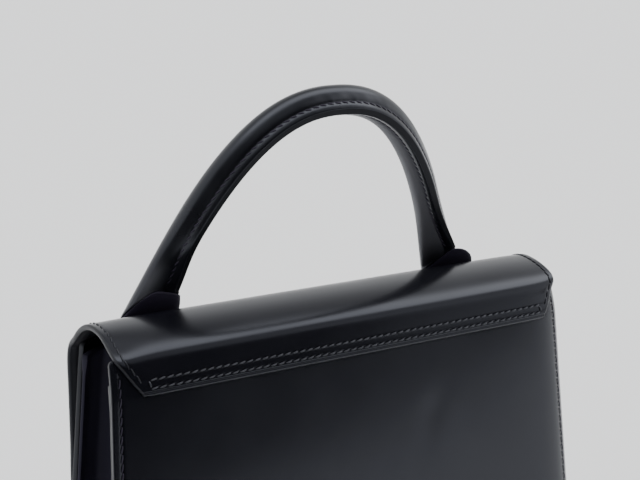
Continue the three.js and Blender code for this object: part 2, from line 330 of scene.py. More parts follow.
def loft(rings: Array, finish: Array | int = 0) -> Skin:
    """A skin through closed rings of equal length, with a flat face at each end.

    Args:
        rings: Points, by ring and by place around it.
        finish: Finish number of all the quads, or of each quad by ring and place.

    Returns:
        The closed skin.
    """
    count, around = rings.shape[:2]
    index = np.arange(count * around).reshape(count, around)
    quads = grid_quads(np.concatenate([index, index[:, :1]], axis=1))
    numbers = np.broadcast_to(finish, (count - 1, around)).ravel()
    return Skin(rings.reshape(-1, 3), quads, numbers, [index[0, ::-1], index[-1]])


# Finishes


Socket = bpy.types.NodeSocket


@dataclass
class Nodes:
    """Adds nodes to one tree and links them."""

    tree: bpy.types.NodeTree

    def add(self, kind: str, **values: object) -> bpy.types.Node:
        """A node with its sockets set or linked.

        Args:
            kind: The node's type.
            values: A number, colour or socket for each input, by its name with _ for spaces.

        Returns:
            The new node.
        """
        node = self.tree.nodes.new(kind)
        for label, value in values.items():
            self.feed(node.inputs[label.replace("_", " ")], value)
        return node

    def feed(self, socket: Socket, value: object) -> None:
        """Links a socket to a socket, or sets it to a number or colour.

        Args:
            socket: The input.
            value: What it gets.
        """
        if isinstance(value, bpy.types.NodeSocket):
            self.tree.links.new(value, socket)
        else:
            socket.default_value = value

    def math(self, kind: str, a: object, b: object) -> Socket:
        """A Math node on two sockets or numbers.

        Args:
            kind: The operation.
            a: First socket or number.
            b: Second socket or number.

        Returns:
            The node's output.
        """
        node = self.tree.nodes.new("ShaderNodeMath")
        node.operation = kind
        self.feed(node.inputs[0], a)
        self.feed(node.inputs[1], b)
        return node.outputs[0]

    def ramp(self, value: Socket, low: float, high: float, first: float = 0.0, last: float = 1.0) -> Socket:
        """A smooth step from one number to another.

        Args:
            value: What is read.
            low: Where the step starts.
            high: Where it is full.
            first: Number before the step.
            last: Number after it.

        Returns:
            The node's output.
        """
        ends = {"From_Min": low, "From_Max": high, "To_Min": first, "To_Max": last}
        node = self.add("ShaderNodeMapRange", Value=value, **ends)
        node.interpolation_type = "SMOOTHSTEP"
        return node.outputs["Result"]

    def blend(self, share: Socket, first: object, last: object) -> Socket:
        """A mix of two colours.

        Args:
            share: Share of the last colour.
            first: Colour or socket.
            last: Colour or socket.

        Returns:
            The node's output.
        """
        node = self.tree.nodes.new("ShaderNodeMix")
        node.data_type = "RGBA"
        for label, value in (("Factor", share), ("A", first), ("B", last)):
            self.feed(node.inputs[label], value)
        return node.outputs["Result"]

    def noise(self, vector: Socket, scale: float, detail: float, roughness: float) -> Socket:
        """A noise texture's value."""
        node = self.add("ShaderNodeTexNoise", Vector=vector, Scale=scale, Detail=detail, Roughness=roughness)
        return node.outputs["Fac"]


@dataclass(frozen=True)
class CalfGrain:
    """The grain that the leathers share: cells per metre, and each noise's scale, detail and roughness."""

    name: str = "calf_grain"
    cells: float = 1500.0
    pores: tuple[float, float, float] = (2600, 3, 0.6)
    creases: tuple[float, float, float] = (160, 5, 0.62)
    clouds: tuple[float, float, float] = (32, 4, 0.55)

    def group(self) -> bpy.types.NodeTree:
        """Node group of smooth calf, made once: pores and hair cells, faint creases and polished clouds.

        Returns:
            A group with a weight for each kind of relief, and outputs Height and Cloud.
        """
        found = bpy.data.node_groups.get(self.name)
        if found:
            return found
        tree = bpy.data.node_groups.new(self.name, "ShaderNodeTree")
        for way, labels in (("INPUT", ("Pores", "Creases")), ("OUTPUT", ("Height", "Cloud"))):
            for label in labels:
                tree.interface.new_socket(label, in_out=way, socket_type="NodeSocketFloat")
        nodes = Nodes(tree)
        given = nodes.add("NodeGroupInput").outputs
        place = nodes.add("ShaderNodeTexCoord").outputs["Object"]
        cells = nodes.add("ShaderNodeTexVoronoi", Vector=place, Scale=self.cells).outputs["Distance"]
        pores = nodes.math("ADD", cells, nodes.noise(place, *self.pores))
        relief = nodes.math("MULTIPLY", pores, given["Pores"])
        creases = nodes.math("MULTIPLY", nodes.noise(place, *self.creases), given["Creases"])
        height = nodes.math("ADD", relief, creases)
        nodes.add("NodeGroupOutput", Height=height, Cloud=nodes.noise(place, *self.clouds))
        return tree


@dataclass(frozen=True)
class Leather:
    """A leather finish: its colour, how much its gloss and colour vary, and the heights of its grain."""

    name: str
    colour: tuple[float, float, float]
    light_colour: tuple[float, float, float]
    gloss_low: float
    gloss_high: float
    pores: float = 0.004
    creases: float = 0.012
    specular: float = 0.5
    # Grey of painted sheen: a lighter colour that stands in for light where the mesh's layer says.
    painted_sheen: tuple[float, float, float] | None = None

    def material(self) -> bpy.types.Material:
        """The material, made once.

        Returns:
            A Principled material whose colour, roughness and normal come from the calf group.
        """
        found = bpy.data.materials.get(self.name)
        if found:
            return found
        made = bpy.data.materials.new(self.name)
        made.use_nodes = True
        nodes = Nodes(made.node_tree)
        shader = made.node_tree.nodes["Principled BSDF"].inputs
        grain = nodes.add("ShaderNodeGroup")
        grain.node_tree = CalfGrain().group()
        nodes.feed(grain.inputs["Pores"], self.pores)
        nodes.feed(grain.inputs["Creases"], self.creases)
        cloud = grain.outputs["Cloud"]
        gloss = nodes.ramp(cloud, *CLOUD_RANGE, self.gloss_low, self.gloss_high)
        shade = nodes.blend(cloud, (*self.colour, 1), (*self.light_colour, 1))
        # Painted sheen: by the layer's share the colour lifts to a lighter grey that stands in for light, and
        # the gloss turns matter.
        if self.painted_sheen:
            layer = nodes.add("ShaderNodeAttribute")
            layer.attribute_name = PAINTED_SHEEN_LAYER
            share = layer.outputs["Fac"]
            shade = nodes.blend(share, shade, (*self.painted_sheen, 1))
            gloss = nodes.math("ADD", gloss, nodes.math("MULTIPLY", share, PAINTED_SHEEN_MATT))
        nodes.feed(shader["Roughness"], gloss)
        nodes.feed(shader["Base Color"], shade)
        bump = nodes.add("ShaderNodeBump", Strength=1.0, Distance=METRE, Height=grain.outputs["Height"])
        nodes.feed(shader["Normal"], bump.outputs["Normal"])
        nodes.feed(shader["Specular IOR Level"], self.specular)
        nodes.feed(shader["Specular Tint"], (*BLUE_SHEEN, 1))
        return made


# Name of the point layer that holds each point's share of painted sheen.
PAINTED_SHEEN_LAYER = "painted_sheen_share"
CLOUD_RANGE = (0.3, 0.7)
BLUE_SHEEN = (0.83, 0.87, 1.0)
# Painted sheen: the lighter grey painted on the handle where it should look lit, and the roughness added
# there.
PAINTED_SHEEN_GREY = (0.06, 0.06, 0.067)
PAINTED_SHEEN_MATT = 0.2
BOX_CALF = Leather(
    "box_calf", (0.0029, 0.0029, 0.0047), (0.0039, 0.0039, 0.0062), 0.21, 0.27,
    pores=0.0015, creases=0.003, specular=0.42,
)
ROLLED_CALF = Leather(
    "rolled_calf", (0.0024, 0.0024, 0.0036), (0.0036, 0.0036, 0.0052), 0.26, 0.36,
    creases=0.03, painted_sheen=PAINTED_SHEEN_GREY,
)
# Gusset leather, also used for the base: partly its own purple-black, partly painted light, lifted well above
# the body's calf to stand in for light that the recessed gussets lack.
GUSSET_CALF = Leather(
    "gusset_calf", (0.0175, 0.016, 0.026), (0.022, 0.0205, 0.032), 0.5, 0.6, creases=0.05, specular=0.08,
)
LINING = Leather("lining_leather", (0.005, 0.0046, 0.006), (0.008, 0.0075, 0.009), 0.5, 0.62, creases=0.1)
EDGE_PAINT = Leather(
    "edge_paint", (0.007, 0.007, 0.0082), (0.012, 0.012, 0.0135), 0.34, 0.44, pores=0.01, specular=0.3,
)
RIDGE_PAINT = Leather("ridge_paint", (0.004, 0.004, 0.005), (0.006, 0.006, 0.0072), 0.36, 0.46, specular=0.14)
# Foot pads: partly their own purple-black, partly painted light, lifted well above the body's calf to stand
# in for light on the shaded pads.
PAD_LEATHER = Leather("matt_pad", (0.021, 0.017, 0.03), (0.026, 0.0212, 0.0365), 0.45, 0.6, specular=0.2)
# Thread of the flap's sewn rows, painted much lighter than its black: a painted highlight for the overhead
# light that the stitches catch.
PAINTED_LIT_THREAD = Leather("painted_lit_thread", (0.02, 0.02, 0.0235), (0.03, 0.03, 0.034), 0.32, 0.42, pores=0.03)
DARK_THREAD = Leather("dark_thread", (0.004, 0.0038, 0.005), (0.0065, 0.006, 0.0075), 0.4, 0.5, pores=0.03)
# Black thread of the panels' and handle's rows, painted a lighter purple-grey: a painted highlight for the
# light that its stitches catch.
PAINTED_LIT_PURPLE_THREAD = Leather(
    "painted_lit_purple_thread", (0.02, 0.0165, 0.027), (0.028, 0.024, 0.036), 0.4, 0.5, pores=0.03, specular=0.2,
)
CLASP_METAL = Leather("dull_metal", (0.03, 0.03, 0.032), (0.05, 0.05, 0.052), 0.25, 0.4, pores=0.002)


def dress(skin: Skin, name: str, finishes: list[Leather], slot: str, *nodes: str) -> None:
    """Makes a piece and puts it on the part: it rides on the body and stands for nodes, which it hides.

    Args:
        skin: The piece's faces.
        name: The piece's name.
        finishes: A finish for each finish number.
        slot: The record's material slot; not used.
        nodes: Nodes that it replaces.
    """
    piece = skin.to_object(name, [finish.material() for finish in finishes])
    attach(piece, BODY)
    if nodes:
        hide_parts(*nodes)
    LOG.info("%s: %d faces", piece.name, len(piece.data.polygons))


# Stitching


@dataclass(frozen=True)
class Thread:
    """Waxed thread that dips into the leather and narrows at both ends of each slanted stitch."""

    reach: float = 1.0
    half_width: float = 0.38
    half_height: float = 0.3
    rise: float = 0.34
    sink: float = 0.30
    slant: float = 17.0
    ply: float = 0.10
    ply_turns: float = 1.5
    narrowing: float = 0.75
    rings: int = 9
    sides: int = 8

    def lay(self, path: Array, normals: Array, count: int, flip: int = 1) -> Skin:
        """Evenly spaced stitches along a path, each a bent thread of two plies.

        The thread's middle line runs along the stitch and rises by one less its distance cubed, less the
        sink. Around it goes an ellipse whose size swells and narrows twice a turn, turning with the plies.

        Args:
            path: Points along the row.
            normals: The leather's normal at each point.
            count: Number of stitches.
            flip: 1 or -1, for the way that the stitches slant.

        Returns:
            One skin of all the stitches.
        """
        lengths = lengths_along(path)
        pitch = lengths[-1] / count
        middle = (np.arange(count) + 0.5) * pitch
        at = read_at(middle, lengths, path)
        ahead = read_at(middle + pitch / 2, lengths, path) - read_at(middle - pitch / 2, lengths, path)
        up = unit(read_at(middle, lengths, normals))
        along = unit(ahead - up * np.sum(ahead * up, axis=-1, keepdims=True))
        side = np.cross(up, along)
        turn = math.radians(self.slant) * flip
        run = along * math.cos(turn) + side * math.sin(turn)
        beside = np.cross(up, run)

        q = np.linspace(-1, 1, self.rings)[:, None]
        angle = np.arange(self.sides) / self.sides * 2 * math.pi
        plies = 1 + self.ply * np.cos(2 * angle - self.ply_turns * math.pi * q)
        size = np.sqrt(1 - self.narrowing * q**6) * plies
        lift = self.rise * (1 - np.abs(q) ** 3) - self.sink * np.abs(q) ** 3
        out = self.half_width * size * np.cos(angle)
        high = lift + self.half_height * size * np.sin(angle)
        half = pitch * self.reach / 2
        points = (
            at[:, None, None]
            + run[:, None, None] * (half * q)[..., None]
            + beside[:, None, None] * out[..., None]
            + up[:, None, None] * high[..., None]
        )
        return self.join(points)

    def join(self, points: Array) -> Skin:
        """Quads for all the stitches, with three quads over each end of eight sides.

        Args:
            points: Points by stitch, ring and side.

        Returns:
            The skin.
        """
        index = np.arange(points[..., 0].size).reshape(points.shape[:3])
        closed = np.concatenate([index, index[:, :, :1]], axis=2)
        corners = (closed[:, :-1, :-1], closed[:, :-1, 1:], closed[:, 1:, 1:], closed[:, 1:, :-1])
        walls = np.stack([corner.ravel() for corner in corners], axis=1)
        cap = np.array([[0, 1, 2, 3], [0, 3, 4, 7], [4, 5, 6, 7]])
        caps = [index[:, 0][:, cap[:, ::-1]].reshape(-1, 4), index[:, -1][:, cap].reshape(-1, 4)]
        quads = np.concatenate([walls, *caps])
        return Skin(points.reshape(-1, 3), quads, np.zeros(len(quads), int))


def gather(skins: list[Skin]) -> Skin:
    """Several skins as one, with each one's point numbers moved past those before it.

    Args:
        skins: The skins, without end faces.

    Returns:
        The one skin.
    """
    starts = np.cumsum([0] + [len(skin.points) for skin in skins[:-1]])
    return Skin(
        np.concatenate([skin.points for skin in skins]),
        np.concatenate([skin.quads + start for skin, start in zip(skins, starts)]),
        np.concatenate([skin.finish for skin in skins]),
    )


# Body


@dataclass(frozen=True)
class BodyForm:
    """The bag's two leaning faces, which narrow upward and bulge in the middle. Their ends pinch in, except
    the back's left end, which flares a little."""

    base_half_width: float = 118.5
    back_side_lean: float = 0.0615
    front_side_lean: float = 0.0715
    foot_depth: float = 46.0
    face_lean: float = 0.113
    roll_from: float = 178.0
    roll: float = 0.048
    roll_power: float = 1.5
    bulge: float = 1.8
    bulge_heights: tuple[float, float, float, float] = (0.0, 50.0, 115.0, 186.0)
    pinch: float = 5.6
    pinch_reach: float = 6.0
    flare: float = 0.2
    flare_reach: float = 6.0
    drape_from: float = 199.0
    drape_full: float = 189.0
    foot_z: float = 2.7

    def drape(self, z: Array) -> Array:
        """1 where the flap lies along the body's faces, 0 on its crown."""
        return 1 - smoothstep(z, self.drape_full, self.drape_from)

    def half_width(self, z: Array, facing: Array) -> Array:
        """Half width of a face at a height."""
        lean = np.where(np.asarray(facing) < 0, self.back_side_lean, self.front_side_lean)
        return self.base_half_width - z * lean

    def lean_depth(self, z: Array) -> Array:
        """Distance of a face from the mid-plane, before bulge and pinch."""
        over = np.maximum(0, z - self.roll_from)
        return self.foot_depth - self.face_lean * z - self.roll * over**self.roll_power

    def swell(self, x: Array, z: Array, facing: Array) -> Array:
        """Bulge less the pinch at the ends, which fade out where the flap turns onto its crown.

        Args:
            x: Places across.
            z: Heights.
            facing: Negative for the back face, positive for the front.

        Returns:
            How far the face stands out from its lean.
        """
        half = self.half_width(z, facing)
        across = np.minimum(1, np.abs(x) / half)
        bulge = self.bulge * (1 - across**2) * between(z, self.bulge_heights)
        from_end = np.maximum(0, half - np.abs(x))
        flared = (np.asarray(facing) < 0) & (x < 0)
        pinch = np.where(
            flared,
            -self.flare * np.exp(-from_end / self.flare_reach),
            self.pinch * np.exp(-from_end / self.pinch_reach),
        )
        return (bulge - pinch) * self.drape(z)

    def face_depth(self, x: Array, z: Array, facing: Array) -> Array:
        """Distance of a face from the mid-plane."""
        return self.lean_depth(z) + self.swell(x, z, facing)


FORM = BodyForm()


@dataclass(frozen=True)
class Dent:
    """A soft oval dent: its centre, half sizes, turn from upright in degrees and depth."""

    x: float
    z: float
    along: float
    across: float
    turn: float
    depth: float

    def at(self, x: Array, z: Array) -> Array:
        """Depth of the dent: a bell over its turned oval.

        Args:
            x: Places across the face.
            z: Heights.

        Returns:
            Depths.
        """
        turn = math.radians(self.turn)
        along = ((z - self.z) * math.cos(turn) + (x - self.x) * math.sin(turn)) / self.along
        across = ((x - self.x) * math.cos(turn) - (z - self.z) * math.sin(turn)) / self.across
        return self.depth * np.exp(-(along**2 + across**2))


@dataclass
class Panel:
    """A stiff panel of the body, with a stitched row up each end."""

    name: str
    facing: Facing
    top: float
    dents: tuple[Dent, ...] = ()
    wall: float = 2.2
    end_rise: float = 0.0
    end_reach: float = 6.0
    corner: float = 1.5
    edge_swell: float = 0.3
    row_inset: float = 3.2
    row_from: float = 6.0
    row_to: float = 189.0
    pitch: float = 3.6
    rows_per_stitch: int = 4
    groove: float = 0.14
    groove_width: float = 0.8
    hole: float = 0.3
    hole_width: float = 0.5
    ends: Array = field(default_factory=lambda: steps_through((0, 1.6, 0.4), (1.6, 5, 0.25), (5, 16, 0.8)))
    middle_columns: int = 70
    row_points: int = 400

    def rows(self) -> int:
        """Faces from the foot to the top, as many to a stitch as the field says."""
        return round((self.top - FORM.foot_z) / (self.pitch / self.rows_per_stitch))

    def point(self, x: Array, z: Array) -> Array:
        """Points of the outer side: the face's depth less the dents, on this panel's side."""
        depth = FORM.face_depth(x, z, self.facing.value) - sum((dent.at(x, z) for dent in self.dents), 0.0)
        return xyz(x, self.facing.value * depth, z)

    def grid(self) -> Array:
        """The outer side with its rounded top corners and the row's groove and stitch holes.

        Columns near the ends keep a fixed distance from them, and the others share what lies between.
        A row lies at a share of the height from the foot to the top, which may rise toward the ends and which
        a circle lowers at the corners.

        Returns:
            Points, by row and column.
        """
        inset = self.ends
        rows = self.rows()
        share = np.linspace(0, 1, rows + 1)[:, None]
        spread = np.linspace(-1, 1, self.middle_columns + 2)[1:-1]
        count = len(inset)
        from_end = np.concatenate([inset, np.full(self.middle_columns, inset[-1]), inset[::-1]])
        into_corner = np.maximum(0, self.corner - from_end)
        top = self.top - self.corner + np.sqrt(self.corner**2 - into_corner**2)
        top = top + self.end_rise * bell(from_end, self.end_reach)
        z = FORM.foot_z + (top - FORM.foot_z) * share
        half = FORM.half_width(z, self.facing.value)
        left = inset - half[:, :count]
        between = spread * (half[:, count:-count] - inset[-1])
        x = np.concatenate([left, between, half[:, -count:] - inset[::-1]], axis=1)
        holes = (np.arange(rows + 1) % self.rows_per_stitch == 0)[:, None]
        off = from_end - self.row_inset
        sunk = self.groove * bell(off, self.groove_width) + self.hole * holes * bell(off, self.hole_width)
        sunk = sunk * (z > self.row_from) * (z < self.row_to)
        points = self.point(x, z)
        normals = grid_normals(points)
        normals *= np.sign(np.sum(normals[..., 1] * self.facing.value))
        return points - normals * sunk[..., None]

    def stitching(self, thread: Thread) -> Skin:
        """Stitches of the two rows, a pitch apart, between the holes.

        Args:
            thread: The thread.

        Returns:
            One skin of both rows.
        """
        pitch = (self.top - FORM.foot_z) / self.rows() * self.rows_per_stitch
        first = math.ceil((self.row_from - FORM.foot_z) / pitch)
        last = math.floor((self.row_to - FORM.foot_z) / pitch)
        z = FORM.foot_z + np.linspace(first * pitch, last * pitch, self.row_points)
        skins = []
        for side in Side:
            x = side.value * (FORM.half_width(z, self.facing.value) - self.row_inset)
            normals = surface_normal(self.point, x, z)
            normals *= np.sign(np.mean(normals[:, 1]) * self.facing.value)
            skins.append(thread.lay(self.point(x, z), normals, last - first, side.value))
        return gather(skins)

    def build(self) -> None:
        """Makes the panel and its stitching."""
        skin = sheet(self.grid(), self.wall, self.edge_swell)
        dress(skin, f"{self.name}_leather", [BOX_CALF, EDGE_PAINT, LINING], "body_leather", self.name)
        sewn = self.stitching(Thread(half_width=0.3, half_height=0.24, rise=0.2, slant=10))
        # The thread is painted lighter than its black, a painted highlight.
        dress(sewn, f"{self.name}_stitching", [PAINTED_LIT_PURPLE_THREAD], "body_leather")


@dataclass
class Gusset:
    """A side of thin leather: a flange inside each panel's end, and a wall between that folds inward."""

    side: Side
    wall: float = 1.4
    panel_wall: float = 2.2
    top: float = 183.0
    flange: float = 9.0
    shoulder: float = 3.5
    fold_at_top: float = 9.0
    fold_at_foot: float = 3.0
    fold_bend: float = 0.45
    seat_gap: float = 0.15
    hem: float = 1.0
    hem_from: float = 173.0
    hem_full: float = 180.0
    edge_swell: float = 0.2
    flange_shares: tuple[float, ...] = (0, 1 / 3, 2 / 3, 1)
    rows: int = 90
    per_span: int = 7

    def thickness(self, z: Array) -> Array:
        """Thickness at a height: the wall's, and more at the hemmed top."""
        return self.wall + self.hem * smoothstep(z, self.hem_from, self.hem_full)

    def grid(self) -> Array:
        """Outer side: at each height a Catmull-Rom curve through the flanges, shoulders and fold.

        Returns:
            Points, by height and place around.
        """
        z = np.linspace(FORM.foot_z, self.top, self.rows)[:, None]
        fold = self.fold_at_foot + (self.fold_at_top - self.fold_at_foot) * z / self.top
        halves = []
        for facing in Facing:
            flange_x = FORM.half_width(z, facing.value) - self.flange * np.array(self.flange_shares)
            shoulder_x = flange_x[:, -1:] - self.shoulder
            depth = FORM.face_depth(self.side.value * flange_x, z, facing.value)
            inside = FORM.face_depth(self.side.value * (flange_x - 1), z, facing.value)
            slant = np.hypot(1, inside - depth)
            flange_y = depth - (self.panel_wall + self.seat_gap + self.thickness(z)) * slant
            shoulder_y = flange_y[:, -1:] - self.shoulder
            x = np.concatenate([flange_x, shoulder_x, shoulder_x - fold * self.fold_bend], axis=1)
            y = facing.value * np.concatenate([flange_y, shoulder_y, shoulder_y / 2], axis=1)
            halves.append(xyz(self.side.value * x, y, z))
        shoulders = (halves[0][:, -2:-1, 0] + halves[1][:, -2:-1, 0]) / 2
        crease = xyz(shoulders - self.side.value * fold, 0.0, z)
        knots = np.concatenate([halves[0], crease, halves[1][:, ::-1]], axis=1)
        return catmull_rom(knots, self.per_span)

    def build(self) -> None:
        """Makes the gusset, whose top is hemmed thicker and whose edges are painted behind only."""
        outer = self.grid()
        if self.side is Side.LEFT:
            outer = outer[:, ::-1]
        skin = sheet(outer, self.thickness(outer[..., 2]), self.edge_swell)
        in_front = skin.points[skin.quads].mean(axis=1)[:, 1] > 0
        skin.finish[(skin.finish == 1) & in_front] = 0
        name = f"gusset_{self.side.name.lower()}"
        dress(skin, f"{name}_leather", [GUSSET_CALF, EDGE_PAINT, LINING], "gusset_leather", name)


@dataclass
class Base:
    """The flat bottom, with rounded corners."""

    half_width: float = 119.5
    half_depth: float = 46.6
    thickness: float = 2.4
    corner: float = 8.0
    edge_swell: float = 0.8
    corner_step: float = 0.8
    middle_step: float = 6.0
    columns: int = 61

    def build(self) -> None:
        """Makes the base: each row across is as wide as the rounded outline there."""
        inside = self.half_depth - self.edge_swell
        bend = -inside + self.corner
        y = steps_through((-inside, bend, self.corner_step), (bend, 0, self.middle_step))
        y = np.concatenate([y, -y[-2::-1]])[:, None]
        into_corner = np.maximum(0, np.abs(y) - (inside - self.corner))
        half = self.half_width - self.edge_swell - self.corner + np.sqrt(self.corner**2 - into_corner**2)
        x = half * np.linspace(1, -1, self.columns)
        outer = xyz(x, y, 0.0)
        skin = sheet(outer, self.thickness, self.edge_swell)
        dress(skin, "base_leather", [GUSSET_CALF, EDGE_PAINT, LINING], "base_leather", "base")


# Flap


@dataclass(frozen=True)
class CrownRow:
    """A place on the flap's outer line over the crown, with the half width there."""

    y: float
    z: float
    half: float


@dataclass
class Flap:
    """The flap: sewn to the back by two rows, over the crown and down the front to a rounded edge."""

    wall: float = 2.4
    gap: float = 0.3
    sewn_edge_z: float = 179.3
    sewn_shares: tuple[float, ...] = (0, 0.35, 0.7)
    sewn_half_width: float = 94.8
    sewn_taper: float = 0.66
    sewn_corner: float = 2.5
    front_edge_z: float = 96.0
    front_slack: float = 3.6
    front_half_width: float = 110.0
    front_corner: float = 14.0
    front_levels: tuple[float, ...] = (180, 165, 140)
    front_turns: tuple[float, ...] = (0, 30, 60, 90)
    soften: float = 1.8
    end_droop: float = 0.3
    edge_swell: float = 0.8
    # From the back crease over the crown and the handle's seat to the front crease
    crown: tuple[CrownRow, ...] = (
        CrownRow(-24.25, 193.6, 103.9),
        CrownRow(-20.5, 196.45, 104.6),
        CrownRow(-12.7, 199.3, 105.0),
        CrownRow(-4.0, 200.6, 105.5),
        CrownRow(4.8, 200.1, 106.5),
        CrownRow(14.0, 196.3, 107.8),
        CrownRow(24.5, 190.6, 108.8),
        CrownRow(31.0, 185.4, 109.4),
    )
    per_knot: int = 60
    crown_shares: tuple[float, float] = (0.1, 0.5)
    halvings: int = 40
    inside_z: float = 150.0
    droop_at: float = -18.0
    droop_width: float = 8.0
    droop_left: float = 1.0
    droop_reach: float = 11.0
    sewn_rows: tuple[float, float] = (2.8, 6.1)
    half_stitches: int = 27
    columns_per_stitch: int = 4
    row_inset: float = 2.3
    pitch: float = 3.6
    groove: float = 0.1
    groove_width: float = 0.7
    hole: float = 0.18
    hole_width: float = 0.5
    crease_line: float = 1.5
    crease_depth: float = 0.28
    crease_width: float = 0.32
    bead: float = 0.8
    bead_drop: float = 0.5
    rows_end: float = 8.5
    inset_full_at: float = 20.0
    edge_row_fade: float = 4.0
    edge_row_overlap: float = 0.5
    stretches: tuple[tuple[float, float, float], ...] = ((0, 8.5, 0.25), (8.5, 26, 0.7), (26, 70, 1.1))
    front_step: float = 2.5
    hem: float = 16.0
    hem_step: float = 0.7
    ends: Array = field(default_factory=lambda: steps_through((0, 2, 0.5), (2, 6, 0.25), (6, 8, 0.5)))
    row_points: int = 400
    end_row_points: int = 900
    tie_points: int = 20

    def __post_init__(self) -> None:
        """Works out the outer line: half width, y and z by the distance from the sewn edge."""
        first = self.crown[0].z
        knots = []
        for share in self.sewn_shares:
            z = self.sewn_edge_z + share * (first - self.sewn_edge_z)
            half = self.sewn_half_width + self.sewn_taper * (z - self.sewn_edge_z)
            knots.append((half, -float(FORM.lean_depth(z)) - self.wall - self.gap, z))
        knots += [(row.half, row.y, row.z) for row in self.crown]
        down = [(self.front_half_width, z) for z in self.front_levels]
        for angle in self.front_turns:
            turn = math.radians(angle)
            half = self.front_half_width - self.front_corner * (1 - math.cos(turn))
            down.append((half, self.front_edge_z + self.front_corner * (1 - math.sin(turn))))
        off = self.wall + self.gap + self.front_slack
        knots += [(half, float(FORM.lean_depth(z)) + off, z) for half, z in down]
        self.line = softened(catmull_rom(np.array(knots), self.per_knot), self.soften)
        self.places = lengths_along(self.line[:, 1:])
        self.length = float(self.places[-1])

    def line_at(self, s: Array) -> tuple[Array, Array, Array]:
        """Half width, y and z of the outer line at a distance from the sewn edge.

        Args:
            s: Distances along the flap.

        Returns:
            The three arrays.
        """
        half, y, z = np.moveaxis(read_at(s, self.places, self.line), -1, 0)
        into_corner = np.clip(self.sewn_corner - s, 0, self.sewn_corner)
        half = half - self.sewn_corner + np.sqrt(self.sewn_corner**2 - into_corner**2)
        return half, y, z

    def point(self, s: Array, x: Array) -> Array:
        """Points of the outer side: the line, swollen with the body. Its ends droop by a bell of the distance
        from them, more behind the crown at the left.

        Args:
            s: Distances from the sewn edge.
            x: Places across.

        Returns:
            Points of the arrays' joint shape.
        """
        half, y, z = self.line_at(s)
        more = np.where(x < 0, self.droop_left, 0.0)
        low = self.end_droop + more * bell(y - self.droop_at, self.droop_width)
        droop = low * bell(np.maximum(0, half - np.abs(x)), self.droop_reach) * (1 - FORM.drape(z))
        y = y + np.sign(y) * FORM.swell(x, z, y)
        return xyz(x, y, z - droop)

    def crown_height(self, x: Array, y: Array) -> Array:
        """Height of the outer side over plan points on the crown, found by halving the distance along.

        Args:
            x: Places across.
            y: Depths.

        Returns:
            Heights.
        """
        low, high = (np.full(np.shape(x), share * self.length) for share in self.crown_shares)
        for _ in range(self.halvings):
            middle = (low + high) / 2
            before = self.point(middle, x)[..., 1] < y
            low, high = np.where(before, middle, low), np.where(before, high, middle)
        return self.point(low, x)[..., 2]

    def core_half(self, s: Array) -> Array:
        """Half width inside the ends: the same for both sewn rows, then an inset from the flap's own.

        Args:
            s: Distances from the sewn edge.

        Returns:
            Half widths.
        """
        sewn = self.line_at(np.array(sum(self.sewn_rows) / 2))[0]
        half = self.line_at(s)[0]
        return sewn + (half - sewn) * smoothstep(s, self.rows_end, self.inset_full_at) - self.ends[-1]

    def grid(self) -> Array:
        """Outer side with its stitch grooves and holes, and a bead pressed along the sewn edge.

        Columns near the ends lie at fixed shares of the inset from them. Those between lie at even shares
        of the width, four to a stitch of the sewn rows.

        Returns:
            Points, by distance from the sewn edge and by column.
        """
        hem = self.length - self.hem
        front = (self.stretches[-1][1], hem, self.front_step)
        s = steps_through(*self.stretches, front, (hem, self.length, self.hem_step))[:, None]
        half, _, _ = self.line_at(s)
        core = self.core_half(s)
        ends = self.ends[:-1] / self.ends[-1]
        between = 2 * self.half_stitches * self.columns_per_stitch
        share = np.linspace(-1, 1, between + 1)
        inset = ends * (half - core)
        x = np.concatenate([inset - half, share * core, (half - inset)[:, ::-1]], axis=1)
        hole = np.zeros(x.shape[1])
        hole[len(ends) : len(ends) + between + 1 : self.columns_per_stitch] = 1
        sunk = self.crease_depth * bell(s - self.crease_line, self.crease_width)
        sunk = sunk + self.bead_drop * np.maximum(0, 1 - s / self.bead) ** 2
        for row in self.sewn_rows:
            sunk = sunk + bell(s - row, self.groove_width) * self.groove
            sunk = sunk + bell(s - row, self.hole_width) * self.hole * hole
        off_end = half - np.abs(x) - self.row_inset
        past_rows = smoothstep(s, self.sewn_rows[1], self.sewn_rows[1] + self.edge_row_fade)
        sunk = sunk + self.groove * bell(off_end, self.groove_width) * past_rows
        points = self.point(s, x)
        normals = grid_normals(points)
        return points - normals * np.sign(np.mean(normals[..., 2])) * sunk[..., None]

    def row_path(self, s: Array, x: Array) -> tuple[Array, Array]:
        """Points and outward normals along a row on the outer side.

        Args:
            s: Distances from the sewn edge.
            x: Places across.

        Returns:
            The points, and normals that look away from the bag's inside.
        """
        normals = surface_normal(self.point, s, x)
        path = self.point(s, x)
        away = path[..., 1] * normals[..., 1] + (path[..., 2] - self.inside_z) * normals[..., 2]
        return path, normals * np.sign(away)[..., None]

    def sewn_stitching(self, thread: Thread) -> Skin:
        """The two sewn rows, with a stitch across both at each end.

        Args:
            thread: The thread.

        Returns:
            One skin of the rows.
        """
        skins = []
        count = 2 * (self.half_stitches + 1)
        reach = float(self.core_half(np.array(0.0))) * (1 + 1 / self.half_stitches)
        for row in self.sewn_rows:
            x = np.linspace(-reach, reach, self.row_points)
            skins.append(thread.lay(*self.row_path(np.full_like(x, row), x), count))
        for side in Side:
            s = np.linspace(*self.sewn_rows, self.tie_points)
            skins.append(thread.lay(*self.row_path(s, np.full_like(s, side.value * reach)), 1))
        return gather(skins)

